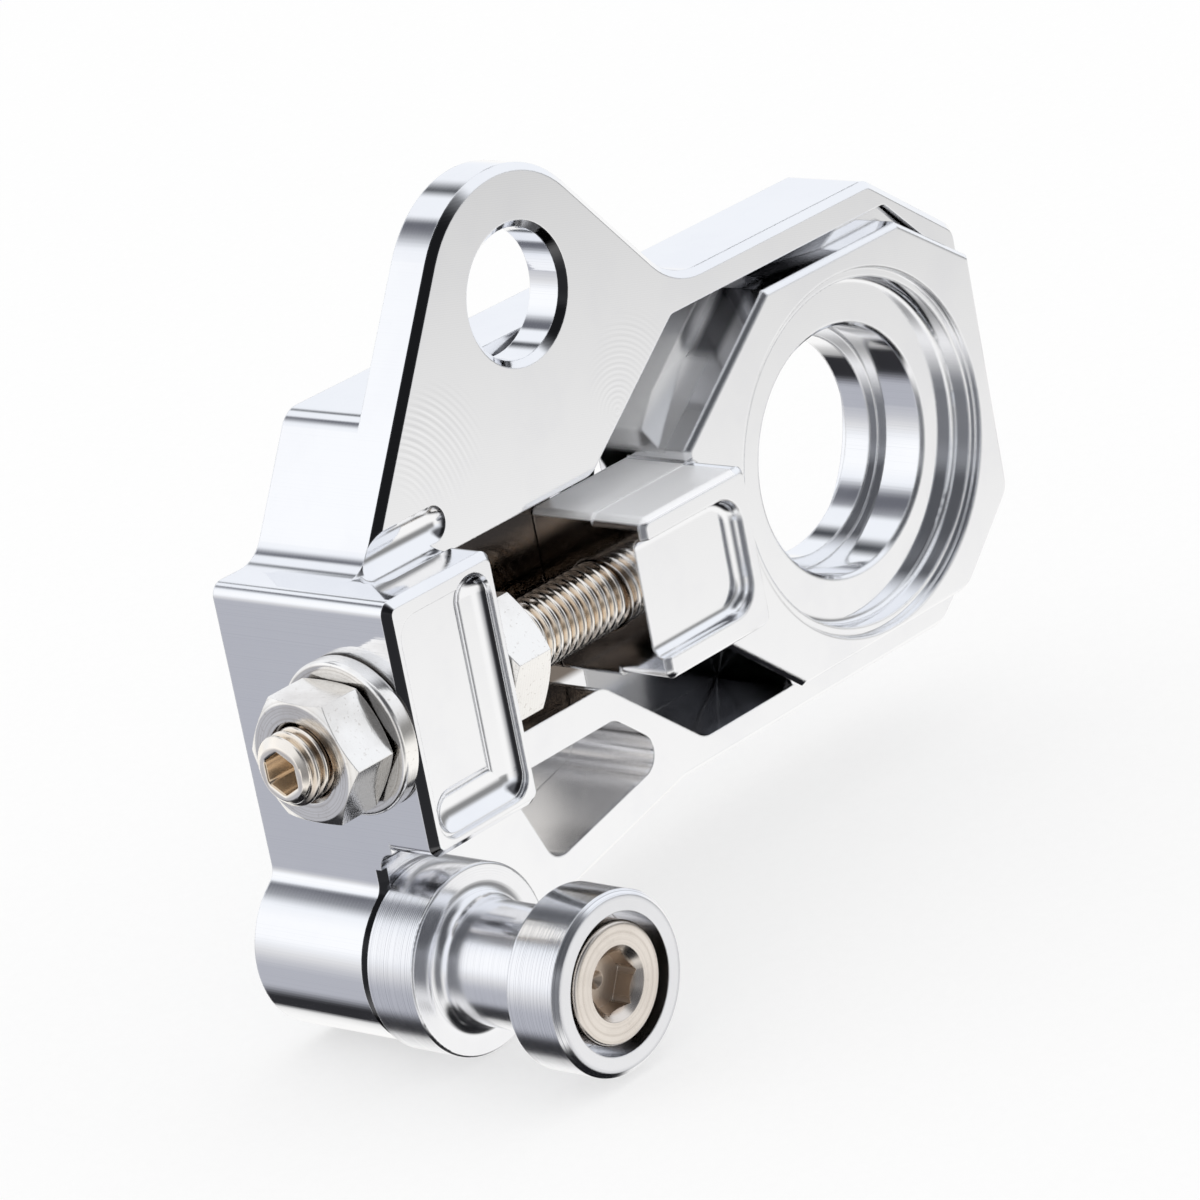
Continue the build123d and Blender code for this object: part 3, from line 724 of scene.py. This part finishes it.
# Threaded stud with its hexagon socket, modelled in full on the CAD stud's axis
studSetup = dict(
    pitch=0.00125,
    crest=0.00396,
    root=0.00325,
    crestFlat=0.18,
    rootFlat=0.22,
    around=56,
    rowsPerPitch=10,
    chamfer=0.0008,
    endRadius=0.0029,
    socketFlats=0.004,
    socketDepth=0.0045,
    socketLip=0.0002,
)


def threadRadius(setup, share):
    # Height of the thread flank at a share of one pitch, with rounded crest and root
    toCrest = abs(share - 0.5) * 2
    lift = (1 - toCrest - setup["rootFlat"]) / (1 - setup["crestFlat"] - setup["rootFlat"])
    lift = min(1.0, max(0.0, lift))
    eased = lift * lift * (3 - 2 * lift)
    blended = 0.55 * eased + 0.45 * lift
    return setup["root"] + (setup["crest"] - setup["root"]) * blended


def addPoint(shape, x, radius, turn):
    y, z = radius * math.sin(turn), radius * math.cos(turn)
    return shape.verts.new((x, studAxis[1] + y, studAxis[2] + z))


def makeStud(setup):
    low, high = studLow.x, studHigh.x
    around, rows = setup["around"], setup["rowsPerPitch"]
    step = setup["pitch"] / rows
    first = -rows - 1
    last = math.ceil((high - low) / step) + 1
    shape = bmesh.new()
    grid = []
    for row in range(first, last + 1):
        ring = []
        for spot in range(around):
            x = low + row * step + setup["pitch"] * spot / around
            x = min(high, max(low, x))
            slope = (setup["crest"] - setup["endRadius"]) / setup["chamfer"]
            ends = setup["endRadius"] + min(x - low, high - x) * slope
            radius = min(threadRadius(setup, (row % rows) / rows), ends)
            ring.append(addPoint(shape, x, radius, 2 * math.pi * spot / around))
        grid.append(ring)
    for near, far in zip(grid, grid[1:]):
        for spot in range(around - 1):
            shape.faces.new((near[spot], near[spot + 1], far[spot + 1], far[spot]))
    for row in range(len(grid) - 1 - rows):
        # The seam closes one pitch further on, because the rows climb with the thread
        near, far = grid[row], grid[row + 1]
        shape.faces.new((near[-1], grid[row + rows][0], grid[row + rows + 1][0], far[-1]))
    bmesh.ops.remove_doubles(shape, verts=shape.verts, dist=0.000002)
    bmesh.ops.dissolve_degenerate(shape, edges=shape.edges, dist=0.000001)
    closeEnds(shape, setup, low, high)
    bmesh.ops.recalc_face_normals(shape, faces=shape.faces)
    mesh = bpy.data.meshes.new("threadedStud")
    shape.to_mesh(mesh)
    shape.free()
    for face in mesh.polygons:
        face.use_smooth = True
    stud = bpy.data.objects.new("threadedStud", mesh)
    bpy.context.scene.collection.objects.link(stud)
    return stud


def closeEnds(shape, setup, low, high):
    # Flat point on the hidden end, hexagon socket with a small lip on the outer end
    rims = {low: [], high: []}
    for edge in shape.edges:
        if edge.is_boundary:
            nearLow = abs(edge.verts[0].co.x - low) < abs(edge.verts[0].co.x - high)
            rims[low if nearLow else high].append(edge)
    shape.faces.new(orderRim(rims[high]))
    rim = orderRim(rims[low])
    corner = setup["socketFlats"] / math.sqrt(3)
    rings = []
    for depth, lip in ((0.0, setup["socketLip"]), (setup["socketLip"], 0.0), (setup["socketDepth"], 0.0)):
        ring = []
        for vert in rim:
            turn = math.atan2(vert.co.y - studAxis[1], vert.co.z - studAxis[2])
            wedge = (turn % (math.pi / 3)) - math.pi / 6
            flat = (corner + lip) * math.cos(math.pi / 6) / math.cos(wedge)
            ring.append(addPoint(shape, low + depth, flat, turn))
        rings.append(ring)
    tip = shape.verts.new((low + setup["socketDepth"] + corner * 0.35, studAxis[1], studAxis[2]))
    rings.insert(0, rim)
    for outer, inner in zip(rings, rings[1:]):
        for spot in range(len(rim)):
            shape.faces.new((outer[spot - 1], outer[spot], inner[spot], inner[spot - 1]))
    for spot in range(len(rim)):
        shape.faces.new((rings[-1][spot - 1], rings[-1][spot], tip))


def orderRim(edges):
    # Verts of a closed rim, walked once round
    following = {}
    for edge in edges:
        for vert in edge.verts:
            following.setdefault(vert, []).append(edge.other_vert(vert))
    walk = [edges[0].verts[0]]
    before = None
    while True:
        ahead = [vert for vert in following[walk[-1]] if vert is not before]
        before = walk[-1]
        if ahead[0] is walk[0]:
            return walk
        walk.append(ahead[0])


stud = makeStud(studSetup)
thread = makeStudMetal("bronzedStud", studMetal, studAxis, studSetup["crest"], studSetup["root"])
stud.data.materials.append(thread)
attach(stud, "slider")
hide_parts("adjuster_stud")
print("stud threaded:", len(stud.data.polygons), "faces")
